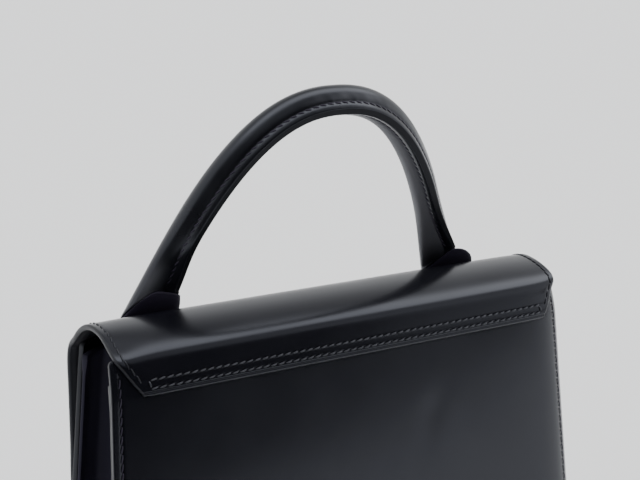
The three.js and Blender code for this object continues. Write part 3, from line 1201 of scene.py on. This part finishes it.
    def edge_stitching(self, thread: Thread) -> Skin:
        """The rows by the flap's ends and front edge.

        Args:
            thread: The thread.

        Returns:
            One skin of the rows.
        """
        skins = []
        start = self.sewn_rows[1] - self.edge_row_overlap
        finish = self.length - self.front_corner - self.row_inset
        for side in Side:
            s = np.linspace(start, finish, self.end_row_points)
            x = side.value * (self.line_at(s)[0] - self.row_inset)
            path, normals = self.row_path(s, x)
            count = round(lengths_along(path)[-1] / self.pitch)
            skins.append(thread.lay(path, normals, count, side.value))
        x = np.linspace(-1, 1, self.row_points) * (self.front_half_width - self.front_corner)
        path, normals = self.row_path(np.full_like(x, self.length - self.row_inset), x)
        skins.append(thread.lay(path, normals, round(lengths_along(path)[-1] / self.pitch)))
        return gather(skins)

    def build(self) -> None:
        """Makes the flap and its stitching."""
        skin = sheet(self.grid(), self.wall, self.edge_swell)
        dress(skin, "flap_leather", [BOX_CALF, EDGE_PAINT, LINING], "flap_leather", "flap")
        sewn = self.sewn_stitching(Thread(reach=0.84, half_width=0.34, slant=13))
        # The sewn rows' thread is painted lighter than its black, a painted highlight.
        dress(sewn, "flap_stitching", [PAINTED_LIT_THREAD], "flap_leather")
        edged = self.edge_stitching(Thread(half_width=0.3, half_height=0.24, rise=0.14, slant=10))
        dress(edged, "flap_edge_stitching", [DARK_THREAD], "flap_leather")


# Handle


@dataclass(frozen=True)
class Foot:
    """A foot of the handle: the pad's ends from the bag's middle and the tongue's outer end, where and how
    high the pad peaks, its height's share at the inner end, the ridge's angle from the outer side, and the
    power by which the pad falls outward."""

    side: Side
    inner: float
    outer: float
    tongue_outer: float
    peak_at: float
    peak: float
    inner_share: float
    ridge: float
    fall: float


@dataclass(frozen=True)
class Ripple:
    """A wave along the handle: its length, height and start, its turns with the angle around, and how much a
    slow sine shifts it."""

    length: float
    height: float = 1.0
    start: float = 0.0
    turns: float = 0.0
    shift: float = 0.0
    shift_length: float = 5.0

    def at(self, s: Array, theta: Array) -> Array:
        """Height of the wave: a sine of the place along and the angle."""
        place = 2 * math.pi * s / self.length + self.start + self.turns * theta
        return self.height * np.sin(place + self.shift * np.sin(s / self.shift_length))


@dataclass(frozen=True)
class PaintedSheenPlaces:
    """Where the handle gets painted sheen, a lighter, matter grey that stands in for light, by shares of its
    length
    and angles from the ridge: the inner flank down the right leg, patches at the apex, and above the left
    foot."""

    leg: float = 0.85
    leg_along: tuple[float, float, float, float] = (0.42, 0.66, 0.92, 1.0)
    leg_around: tuple[float, float, float, float] = (0.3, 0.6, 2.2, 2.9)
    apex: float = 0.5
    apex_at: float = 0.53
    apex_reach: float = 0.07
    apex_turn: float = -0.75
    apex_spread: float = 0.35
    patch_level: float = 0.5
    patches: tuple[Ripple, ...] = (
        Ripple(2 * math.pi * 1.9, 0.3, turns=3),
        Ripple(2 * math.pi * 0.83, 0.25, start=1, turns=-5),
    )
    foot_full: float = 0.04
    foot_end: float = 0.11
    foot_turn: float = -1.3
    foot_spread: float = 0.4

    def shares(self, u: Array, theta: Array, length: float) -> Array:
        """Share of painted sheen: smooth steps along and around the leg, and bells at the apex and foot.

        Args:
            u: Shares of the length.
            theta: Angles from the ridge.
            length: The handle's length.

        Returns:
            Shares.
        """
        turn = wrapped(theta)
        leg = self.leg * between(turn, self.leg_around) * between(u, self.leg_along)
        patches = self.patch_level + sum(patch.at(u * length, turn) for patch in self.patches)
        apex = bell(u - self.apex_at, self.apex_reach) * bell(turn - self.apex_turn, self.apex_spread)
        foot = 1 - smoothstep(u, self.foot_full, self.foot_end)
        foot = foot * bell(turn - self.foot_turn, self.foot_spread)
        return np.clip(leg + self.apex * patches * apex + foot, 0, 1)


@dataclass
class Handle:
    """A rolled handle with a stitched ridge toward the back, on two foot pads."""

    flap: Flap
    mid_x: float = -5.0
    foot_y: float = 22.2
    foot_z: float = 196.0
    lean: float = math.radians(20.2)
    half_span: float = 72.9
    rise: float = 92.8
    power: float = 2.33
    tube: float = 6.2
    ridge_reach: float = 8.9
    ridge_half: float = 1.55
    ridge_corner: float = 0.22
    ridge_spread: float = 0.9
    ridge_end_angle: float = 1.2
    seam_turn: tuple[float, float, float] = (10.0, 3.5, -5.0)
    seam_places: tuple[float, float, float] = (0.1, 0.5, 0.85)
    row_at: float = 6.5
    row_angle: float = 0.4
    row_step: float = 0.03
    paint_angle: float = 0.14
    waist: float = 0.5
    waist_width: float = 0.9
    flare_length: float = 45.0
    pad_half_depth: float = 6.6
    pad_tip: float = 1.2
    seat_gap: float = 0.45
    gap: float = 0.3
    tongue: float = 1.6
    pull: float = 0.33
    hem_swell: float = 0.2
    pad_swell: float = 0.35
    pad_core: float = 0.1
    wrinkle: float = 0.03
    wrinkle_turn: float = 0.6
    wrinkle_spread: float = 0.4
    wrinkle_at: float = 0.52
    wrinkle_reach: float = 0.15
    ripples: tuple[Ripple, ...] = (
        Ripple(3.7, shift=0.8),
        Ripple(5.3, 0.8, start=1.3, turns=1),
        Ripple(2.6, 0.7, start=0.6, turns=2),
    )
    # Where the handle's painted sheen goes.
    painted_sheen: PaintedSheenPlaces = PaintedSheenPlaces()
    pitch: float = 3.3
    line_points: int = 1601
    tangent_step: float = 0.3
    leg_step: float = 0.5
    fine_angle: float = 0.62
    fine_sides: int = 69
    coarse_sides: int = 46
    rings: int = 260
    flare_rings: int = 44
    hem_rings: int = 4
    row_rings: int = 8
    ease_rings: int = 7
    pad_rings: int = 10
    pad_top_rings: int = 9
    feet: tuple[Foot, Foot] = (
        Foot(
            Side.LEFT, inner=63.0, outer=88.2, tongue_outer=88.2, peak_at=75.5, peak=11.0, inner_share=0.72,
            ridge=math.radians(140), fall=1.5,
        ),
        Foot(
            Side.RIGHT, inner=60.4, outer=88.0, tongue_outer=76.5, peak_at=71.0, peak=9.5, inner_share=0.05,
            ridge=math.radians(66), fall=2.0,
        ),
    )

    def __post_init__(self) -> None:
        """Works out the middle line and the section."""
        self.up = np.array([0, -math.sin(self.lean), math.cos(self.lean)])
        self.facing = np.array([0, -math.cos(self.lean), -math.sin(self.lean)])
        x = self.half_span * np.sin(np.linspace(-0.5, 0.5, self.line_points) * math.pi)
        h = self.rise * (1 - np.abs(x / self.half_span) ** self.power)
        foot = np.array([self.mid_x, self.foot_y, self.foot_z])
        self.line = foot + x[:, None] * np.array([1, 0, 0]) + h[:, None] * self.up
        self.places = lengths_along(self.line)
        self.length = float(self.places[-1])
        lip = math.hypot(self.ridge_reach, self.ridge_half)
        self.touch = math.atan2(self.ridge_half, self.ridge_reach) + math.acos(self.tube / lip)
        fine = np.linspace(-self.fine_angle, self.fine_angle, self.fine_sides)
        rest = np.linspace(self.fine_angle, 2 * math.pi - self.fine_angle, self.coarse_sides)[1:-1]
        self.theta = np.concatenate([fine, rest])

    def section(self, theta: Array) -> Array:
        """Distance of the section's outline from the tube's middle, by the angle from the ridge.

        Each flank of the ridge runs straight until it touches the tube, drawn in along the row of stitches.

        Args:
            theta: Angles from the ridge.

        Returns:
            Distances.
        """
        off = np.abs(wrapped(theta))
        flank = self.tube / np.cos(np.minimum(0, off - self.touch))
        flank = flank - self.waist * bell(flank * np.cos(off) - self.row_at, self.waist_width)
        sharp = 1 / self.ridge_corner
        end = self.ridge_reach / np.cos(np.minimum(off, self.ridge_end_angle))
        return -np.log(np.exp(-sharp * end) + np.exp(-sharp * flank)) / sharp

    def turn_at(self, u: Array) -> Array:
        """Turn of the ridge toward the arch's inner side, smooth from leg to apex to leg."""
        (left, apex, right), places = np.radians(self.seam_turn), self.seam_places
        return left + (apex - left) * smoothstep(u, *places[:2]) + (right - apex) * smoothstep(u, *places[1:])

    def tube_points(self, u: Array, theta: Array, radius: Array) -> Array:
        """Points around the middle line, at angles from the ridge and distances from the line.

        Args:
            u: Shares of the length.
            theta: Angles from the ridge.
            radius: Distances from the line.

        Returns:
            Points of the arrays' joint shape.
        """
        u, theta, radius = np.broadcast_arrays(u, theta + self.turn_at(u), radius)
        s = u * self.length
        centre = read_at(s, self.places, self.line)
        after = read_at(s + self.tangent_step, self.places, self.line)
        before = read_at(s - self.tangent_step, self.places, self.line)
        inward = unit(np.cross(after - before, self.facing))
        inward = -inward * np.sign(np.mean(inward @ self.up))
        return (
            centre
            + self.facing * (radius * np.cos(theta))[..., None]
            + inward * (radius * np.sin(theta))[..., None]
        )

    def wrinkles(self, u: Array, theta: Array) -> Array:
        """Fine creases across the bend beside the ridge: ripples along the handle, strongest at the apex.

        Args:
            u: Shares of the length.
            theta: Angles from the ridge.

        Returns:
            Depths.
        """
        waves = sum(ripple.at(u * self.length, theta) for ripple in self.ripples)
        beside = bell(np.abs(theta) - self.wrinkle_turn, self.wrinkle_spread)
        return self.wrinkle * waves * beside * bell(u - self.wrinkle_at, self.wrinkle_reach)

    def pad_top(self, reach: Array, foot: Foot) -> Array:
        """Height of a pad's top: it rises straight to its peak, then falls by a power of the distance.

        Args:
            reach: Distances from the bag's middle.
            foot: The foot.

        Returns:
            Heights.
        """
        rise = (reach - foot.inner) / (foot.peak_at - foot.inner)
        fall = (reach - foot.peak_at) / (foot.outer - foot.peak_at)
        under = foot.peak * (foot.inner_share + (1 - foot.inner_share) * rise)
        over = self.pad_tip + (foot.peak - self.pad_tip) * (1 - np.clip(fall, 0, 1) ** foot.fall)
        return np.where(reach < foot.peak_at, under, over)

    def foot_ring(
        self, foot: Foot, lift: float, share: float, grow: float = 0.0, ridged: bool = False,
        scale: float = 1.0,
    ) -> Array:
        """Outline of a foot: an ellipse on the flap's crown, raised along the handle's lean.

        Args:
            foot: The foot.
            lift: Height added to the pad's share.
            share: Share of the pad's top height.
            grow: How far the outline is grown.
            ridged: Whether this is the tongue's outline, drawn in beside the handle's ridge.
            scale: Size of the ellipse.

        Returns:
            A ring of points, one for each angle of the section.
        """
        outer = foot.tongue_outer if ridged else foot.outer
        middle, half = (foot.inner + outer) / 2, (outer - foot.inner) / 2
        angle = foot.ridge + self.theta
        out = 1.0
        if ridged:
            inside = (self.ridge_reach - self.section(self.theta)) / self.tube
            out = 1 - inside * bell(wrapped(self.theta), self.ridge_spread)
        reach = middle + (half * scale + grow) * out * np.cos(angle)
        depth = self.pad_half_depth * scale + grow
        x, y = foot.side.value * reach, self.foot_y - depth * out * np.sin(angle)
        height = lift + share * self.pad_top(np.clip(reach, foot.inner, foot.outer), foot)
        seat = xyz(x, y, self.flap.crown_height(x, y) + self.seat_gap)
        return seat + self.up * height[:, None]

    def flare(self, foot: Foot) -> Array:
        """Rings from the tube to a tongue on the pad: each point follows a cubic Bezier curve that leaves
        along the leg and arrives straight, then turns over the tongue's edge.

        Args:
            foot: The foot.

        Returns:
            Rings, from the tube to the pad.
        """
        end = 0.0 if foot.side is Side.LEFT else 1.0
        sign = 1 - 2 * end
        u = np.array(end + sign * self.flare_length / self.length)
        start = self.tube_points(u, self.theta, self.section(self.theta))
        steps = np.array([-self.leg_step, self.leg_step])
        beside = read_at(float(u) * self.length + steps, self.places, self.line)
        leg = unit(beside[1] - beside[0]) * -sign
        edge = self.foot_ring(foot, self.gap + self.tongue, 1.0, 0.0, True)
        near = start + leg * np.linalg.norm(edge - start, axis=-1, keepdims=True) * self.pull
        far = edge + (start - edge) * self.pull
        t = np.linspace(0, 1, self.flare_rings + 1)[1:, None, None]
        rings = (1 - t) ** 3 * start + 3 * t * (1 - t) ** 2 * near + 3 * t**2 * (1 - t) * far + t**3 * edge
        hems = []
        for share in np.linspace(1, 0, self.hem_rings + 1)[1:]:
            swell = self.hem_swell * math.sin(share * math.pi)
            hems.append(self.foot_ring(foot, self.gap + self.tongue * share, 1.0, swell, True))
        return np.concatenate([rings, np.stack(hems)])

    def build(self) -> None:
        """Makes the handle, its stitching and its pads."""
        share = self.flare_length / self.length
        u = np.linspace(share, 1 - share, self.rings)[:, None]
        radius = self.section(self.theta) - self.wrinkles(u, self.theta)
        arch = self.tube_points(u, self.theta, radius)
        left, right = self.feet
        rings = self.eased(np.concatenate([self.flare(left)[::-1], arch, self.flare(right)]))
        flared = np.linspace(0, share, (len(rings) - self.rings) // 2)
        along = np.concatenate([flared, u[:, 0], 1 - flared[::-1]])[:, None]
        narrowing = smoothstep(np.minimum(along, 1 - along), -share, share)
        painted = np.abs(self.theta) < self.paint_angle * narrowing
        skin = loft(rings, painted[1:].astype(int))
        # Painted sheen: shares of a lighter grey that stand in for light on the handle.
        skin.painted_sheen_share = self.painted_sheen.shares(along, self.theta, self.length)
        dress(skin, "handle_leather", [ROLLED_CALF, RIDGE_PAINT], "handle_leather", "handle")
        sewn = self.stitching(rings, Thread(half_width=0.3, half_height=0.22, rise=0.16, slant=20))
        # The thread is painted lighter than its black, a painted highlight.
        dress(sewn, "handle_stitching", [PAINTED_LIT_PURPLE_THREAD], "handle_leather")
        for foot in self.feet:
            self.pad(foot)

    def eased(self, rings: Array) -> Array:
        """Rings softened where arch and flares meet: there each becomes a mean of its neighbours, by a bell.

        Args:
            rings: The handle's rings.

        Returns:
            As many rings.
        """
        shifts = np.arange(-2 * self.ease_rings, 2 * self.ease_rings + 1)
        weights = bell(shifts, self.ease_rings)
        weights /= weights.sum()
        mean = sum(weight * np.roll(rings, shift, axis=0) for shift, weight in zip(shifts, weights))
        from_middle = np.abs(np.arange(len(rings)) - (len(rings) - 1) / 2)
        near = bell(from_middle - self.rings / 2, 2 * self.ease_rings)[:, None, None]
        return rings + near * (mean - rings)

    def on_rings(self, rings: Array, theta: float) -> Array:
        """Points at an angle from the ridge, drawn straight between each ring's own.

        Args:
            rings: The handle's rings.
            theta: The angle.

        Returns:
            A point for each ring.
        """
        place = np.interp(theta, self.theta, np.arange(len(self.theta)))
        low = int(place)
        return rings[:, low] + (rings[:, low + 1] - rings[:, low]) * (place - low)

    def stitching(self, rings: Array, thread: Thread) -> Skin:
        """A row on each flank of the ridge, from foot to foot.

        Args:
            rings: The handle's rings.
            thread: The thread.

        Returns:
            One skin of both rows.
        """
        rings = rings[self.row_rings:-self.row_rings]
        skins = []
        for flank in (-1, 1):
            theta = flank * self.row_angle
            path = self.on_rings(rings, theta)
            across = self.on_rings(rings, theta + self.row_step) - self.on_rings(rings, theta - self.row_step)
            normals = unit(np.cross(np.gradient(path, axis=0), across))
            normals *= np.sign(np.sum(normals * (path - rings.mean(axis=1))))
            skins.append(thread.lay(path, normals, round(lengths_along(path)[-1] / self.pitch), flank))
        return gather(skins)

    def pad(self, foot: Foot) -> None:
        """Makes a foot pad: rings from the flap up its side, swelling a little halfway, then in over its top.

        Args:
            foot: The foot.
        """
        rings = []
        for share in np.linspace(0, 1, self.pad_rings):
            swell = self.pad_swell * math.sin(math.pi * share)
            rings.append(self.foot_ring(foot, self.gap * share, share, swell))
        for scale in np.linspace(1, self.pad_core, self.pad_top_rings + 1)[1:]:
            rings.append(self.foot_ring(foot, self.gap, 1.0, scale=scale))
        name = f"handle_foot_{foot.side.name.lower()}"
        dress(loft(np.stack(rings)), f"{name}_leather", [PAD_LEATHER], "pad_leather", name)


# Studio


@dataclass(frozen=True)
class Room:
    """The studio's light by direction: pale low behind, dimmer above, dark before, and a soft box overhead.

    Overhead, a direction is read where it meets a level plane of height 1, as (across, ahead).
    """

    tint: tuple[float, float, float] = (0.99, 1.0, 1.01)
    above: float = 0.28
    horizon: float = 1.2
    horizon_from: float = 0.42
    horizon_to: float = 1.03
    before: tuple[float, float, float] = (-0.2, -0.9798, 0.0)
    before_from: float = 0.56
    before_full: float = 0.84
    before_left: float = 0.12
    box: float = 3.3
    box_across: tuple[float, float, float, float] = (-1.6, -0.9, 1.2, 1.9)
    box_ahead: tuple[float, float, float, float] = (-0.48, -0.25, 0.1, 0.5)
    box_low: tuple[float, float] = (0.05, 0.2)

    def build(self) -> None:
        """Sets the world to this light."""
        world = bpy.data.worlds.new("room")
        world.use_nodes = True
        nodes = Nodes(world.node_tree)
        way = nodes.add("ShaderNodeTexCoord").outputs["Generated"]
        x, y, z = nodes.add("ShaderNodeSeparateXYZ", Vector=way).outputs
        level = nodes.ramp(z, self.horizon_from, self.horizon_to, self.horizon, self.above)
        ahead = nodes.add("ShaderNodeVectorMath")
        ahead.operation = "DOT_PRODUCT"
        nodes.feed(ahead.inputs[0], way)
        nodes.feed(ahead.inputs[1], self.before)
        dark = nodes.ramp(ahead.outputs["Value"], self.before_from, self.before_full, 1.0, self.before_left)
        level = nodes.math("MULTIPLY", level, dark)
        high = nodes.math("MAXIMUM", z, self.box_low[0])
        light = self.box
        for part, edges in ((x, self.box_across), (y, self.box_ahead)):
            place = nodes.math("DIVIDE", part, high)
            rise, fall = nodes.ramp(place, *edges[:2]), nodes.ramp(place, *edges[2:], 1.0, 0.0)
            light = nodes.math("MULTIPLY", nodes.math("MULTIPLY", rise, fall), light)
        level = nodes.math("ADD", level, nodes.math("MULTIPLY", light, nodes.ramp(z, *self.box_low)))
        background = world.node_tree.nodes["Background"].inputs
        nodes.feed(background["Color"], (*self.tint, 1))
        nodes.feed(background["Strength"], level)
        bpy.context.scene.world = world


@dataclass
class Studio:
    """Pale floor, a dark card and mat, soft light and the camera."""

    eye: tuple[float, float, float] = (-212.94, -391.67, 344.88)
    pan: float = 27.83
    tilt: float = 15.47
    focal_pixels: float = 1080.0
    image_width: float = 640.0
    sensor: float = 36.0
    clip: tuple[float, float] = (0.01, 100.0)
    floor_half: float = 20000.0
    floor_places: int = 9
    floor_shade: float = 0.94
    paper_roughness: float = 0.95
    paper_specular: float = 0.1
    card_y: float = -520.0
    card_left: float = -620.0
    card_right: float = 1000.0
    wedge_from: float = 300.0
    wedge_height: float = 175.0
    rise_from: float = 55.0
    rise: tuple[float, float] = (68.0, 105.0)
    card_height: float = 450.0
    low_from: float = -285.0
    low_height: float = 330.0
    wing_x: float = -900.0
    wing_y: float = -130.0
    wing_height: float = 620.0
    mat_right: float = 40.0
    mat_near: float = -260.0
    mat_reach: float = 6000.0
    mat_height: float = 1.0
    card_shade: float = 0.025

    def camera(self) -> None:
        """Makes the camera at the photograph's angle."""
        data = bpy.data.cameras.new("camera")
        data.sensor_width = self.sensor
        data.lens = self.focal_pixels / self.image_width * self.sensor
        data.clip_start, data.clip_end = self.clip
        camera = bpy.data.objects.new("camera", data)
        camera.location = np.array(self.eye) * METRE
        camera.rotation_euler = (math.radians(90 - self.tilt), 0, math.radians(-self.pan))
        bpy.context.scene.collection.objects.link(camera)
        bpy.context.scene.camera = camera

    def sheet(self, name: str, points: Array, shade: float) -> bpy.types.Object:
        """A matt sheet of studio paper.

        Args:
            name: The sheet's name.
            points: A grid of its points.
            shade: Its grey.

        Returns:
            The object.
        """
        quads = grid_quads(np.arange(points[..., 0].size).reshape(points.shape[:2]))
        mesh = bpy.data.meshes.new(name)
        mesh.from_pydata((points.reshape(-1, 3) * METRE).tolist(), [], quads.tolist())
        paper = bpy.data.materials.new(f"{name}_paper")
        paper.use_nodes = True
        shader = paper.node_tree.nodes["Principled BSDF"].inputs
        shader["Base Color"].default_value = (shade, shade, shade, 1)
        shader["Roughness"].default_value = self.paper_roughness
        shader["Specular IOR Level"].default_value = self.paper_specular
        mesh.materials.append(paper)
        made = bpy.data.objects.new(name, mesh)
        bpy.context.scene.collection.objects.link(made)
        return made

    def build(self) -> None:
        """Sets up the camera, the room, the floor, and a dark card and mat that only gloss sees.

        The card stands in steps: a high wing turned back at the left, a low step, the full height, and a
        wedge at the right whose lower edge rises.
        """
        self.camera()
        Room().build()
        places = np.linspace(-self.floor_half, self.floor_half, self.floor_places)
        x, y = np.meshgrid(places, places)
        self.sheet("floor", xyz(x, y, 0.0), self.floor_shade)
        steps = np.repeat([self.card_left, self.low_from, self.wedge_from], 2)
        x = np.concatenate([[self.wing_x], steps[:4], [self.rise_from], steps[4:], [self.card_right]])
        y = np.array([self.wing_y] + [self.card_y] * 8)
        tops = [self.wing_height, self.low_height, self.card_height, self.wedge_height]
        top = np.repeat(tops, [2, 2, 3, 2])
        low = np.interp(x, [self.rise_from, self.wedge_from, self.card_right], [0, *self.rise])
        card = self.sheet("card", xyz(x, y, np.stack([low, top])), self.card_shade)
        x = np.array([-self.mat_reach, self.mat_right])
        y = np.array([-self.mat_reach, self.mat_near])[:, None]
        mat = self.sheet("mat", xyz(x, y, self.mat_height), self.card_shade)
        for dark in (card, mat):
            dark.visible_camera = dark.visible_diffuse = dark.visible_shadow = False


def main() -> None:
    """Builds the pieces in order."""
    logging.basicConfig(level=logging.INFO, format="%(name)s: %(message)s")
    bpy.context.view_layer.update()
    Studio().build()
    dents = (
        Dent(x=33, z=147, along=9, across=6, turn=20, depth=0.16),
        Dent(x=29, z=132, along=22, across=5, turn=24, depth=0.1),
    )
    Panel("back_panel", Facing.BACK, 191.0, dents, end_rise=2.2).build()
    Panel("front_panel", Facing.FRONT, 187.0).build()
    for side in Side:
        Gusset(side).build()
    Base().build()
    flap = Flap()
    flap.build()
    Handle(flap).build()
    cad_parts["clasp"].data.materials.clear()
    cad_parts["clasp"].data.materials.append(CLASP_METAL.material())


if __name__ == "__main__":
    main()
